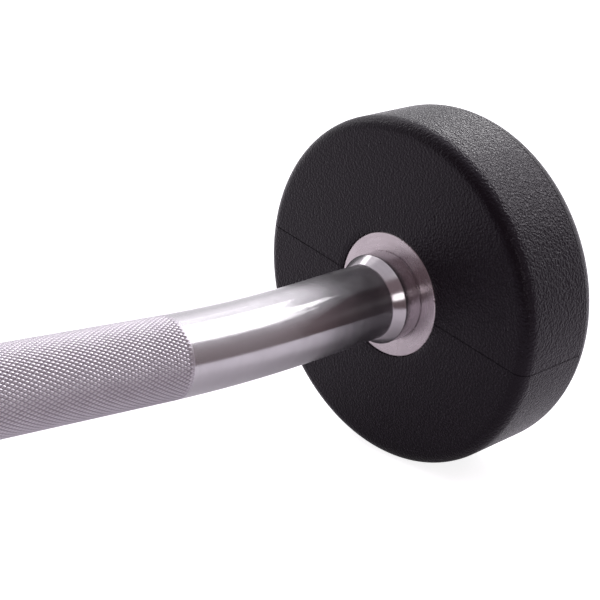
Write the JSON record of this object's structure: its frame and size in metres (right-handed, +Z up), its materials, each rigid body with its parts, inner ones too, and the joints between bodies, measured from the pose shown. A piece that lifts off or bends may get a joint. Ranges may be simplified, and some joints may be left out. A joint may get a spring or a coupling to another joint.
{
  "type": "fixed barbell",
  "caption": "Fixed curl barbell: a bent steel bar with knurled grips, and on each end a round black urethane head locked by a key and a bolt behind a screwed end cap.",
  "frame": {"origin": "middle of the barbell, on the common axis of the two heads", "axes": "+X along the barbell to the right head, +Z up as it rests on its heads, with the outer grips rising from the heads and the middle hanging lowest"},
  "size_m": [0.9776, 0.142, 0.142],
  "materials": {
    "bar_steel": "polished steel bar with knurled grips",
    "turned_steel": "fine-turned bare steel",
    "key_steel": "ground key steel",
    "cast_core": "rough casting, primed",
    "urethane": "black moulded urethane with a fine grain",
    "washer_steel": "zinc plated",
    "black_bolt": "black oxide",
    "cap_steel": "fine-turned bare steel"
  },
  "bodies": {
    "root": {"curl_bar": "bar_steel", "right_collar": "turned_steel", "right_hub": "turned_steel", "right_key": "key_steel", "right_weight_core": "cast_core", "right_head_cover": "urethane", "right_end_washer": "washer_steel", "right_lock_washer": "washer_steel", "right_head_bolt": "black_bolt", "right_end_cap": "cap_steel", "right_cap_screws": "black_bolt", "left_collar": "turned_steel", "left_hub": "turned_steel", "left_key": "key_steel", "left_weight_core": "cast_core", "left_head_cover": "urethane", "left_end_washer": "washer_steel", "left_lock_washer": "washer_steel", "left_head_bolt": "black_bolt", "left_end_cap": "cap_steel", "left_cap_screws": "black_bolt"}
  },
  "joints": []
}
